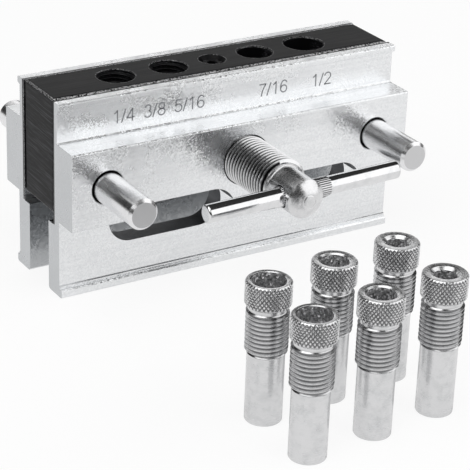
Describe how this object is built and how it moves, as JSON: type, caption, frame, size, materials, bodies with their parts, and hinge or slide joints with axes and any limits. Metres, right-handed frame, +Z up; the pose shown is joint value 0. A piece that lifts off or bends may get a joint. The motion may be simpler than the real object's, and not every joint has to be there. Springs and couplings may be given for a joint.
{
  "type": "self centering doweling jig",
  "caption": "Self-centring doweling jig: two sliding jaws close under a drill guide block by a left-and-right-hand lead screw with a tommy bar, with threaded drill bushings beside it.",
  "frame": {"origin": "centre of the guide block's flat underside, where the board's edge seats, midway between the jaws", "axes": "+X along the jig towards the plain 7/16 and 1/2 inch holes, -Y towards the tommy bar, +Z up out of the guide holes"},
  "size_m": [0.119, 0.1753, 0.0623],
  "materials": {
    "black_oxide_steel": "black oxide over milled steel, satin",
    "anodised_aluminium": "bead-blasted, clear anodised extrusion",
    "ground_steel": "centreless ground and polished",
    "turned_steel": "turned, threaded and nickel bright"
  },
  "bodies": {
    "guide_body": {"guide_block": "black_oxide_steel", "guide_rod_left": "ground_steel", "guide_rod_right": "ground_steel", "retaining_screw": "black_oxide_steel"},
    "front_jaw": {"front_jaw": "anodised_aluminium"},
    "rear_jaw": {"rear_jaw": "anodised_aluminium"},
    "screw": {"lead_screw": "turned_steel", "tommy_bar": "ground_steel"},
    "bushing_3_8_back": {"bushing_3_8_back": "turned_steel"},
    "bushing_3_8_front": {"bushing_3_8_front": "turned_steel"},
    "bushing_5_16_back": {"bushing_5_16_back": "turned_steel"},
    "bushing_5_16_front": {"bushing_5_16_front": "turned_steel"},
    "bushing_1_4_back": {"bushing_1_4_back": "turned_steel"},
    "bushing_1_4_front": {"bushing_1_4_front": "turned_steel"}
  },
  "joints": [
    {"name": "screw_turn", "type": "hinge", "parent": "guide_body", "child": "screw", "pos_m": [0, 0, 0.0112], "axis": [0, -1, 0], "range_deg": [0, 4919]},
    {"name": "front_jaw_slide", "type": "slide", "parent": "guide_body", "child": "front_jaw", "axis": [0, -1, 0], "range_m": [0, 0.0205]},
    {"name": "rear_jaw_slide", "type": "slide", "parent": "guide_body", "child": "rear_jaw", "axis": [0, 1, 0], "range_m": [0, 0.0205]},
    {"name": "bushing_3_8_back_lift", "type": "slide", "parent": "guide_body", "child": "bushing_3_8_back", "axis": [0, 0, 1], "range_m": [0, 0.08]},
    {"name": "bushing_3_8_front_lift", "type": "slide", "parent": "guide_body", "child": "bushing_3_8_front", "axis": [0, 0, 1], "range_m": [0, 0.08]},
    {"name": "bushing_5_16_back_lift", "type": "slide", "parent": "guide_body", "child": "bushing_5_16_back", "axis": [0, 0, 1], "range_m": [0, 0.08]},
    {"name": "bushing_5_16_front_lift", "type": "slide", "parent": "guide_body", "child": "bushing_5_16_front", "axis": [0, 0, 1], "range_m": [0, 0.08]},
    {"name": "bushing_1_4_back_lift", "type": "slide", "parent": "guide_body", "child": "bushing_1_4_back", "axis": [0, 0, 1], "range_m": [0, 0.08]},
    {"name": "bushing_1_4_front_lift", "type": "slide", "parent": "guide_body", "child": "bushing_1_4_front", "axis": [0, 0, 1], "range_m": [0, 0.08]}
  ],
  "couplings": [
    {"joint": "front_jaw_slide", "follows": "screw_turn", "m_per_rad": 0.00023873},
    {"joint": "rear_jaw_slide", "follows": "screw_turn", "m_per_rad": 0.00023873}
  ]
}
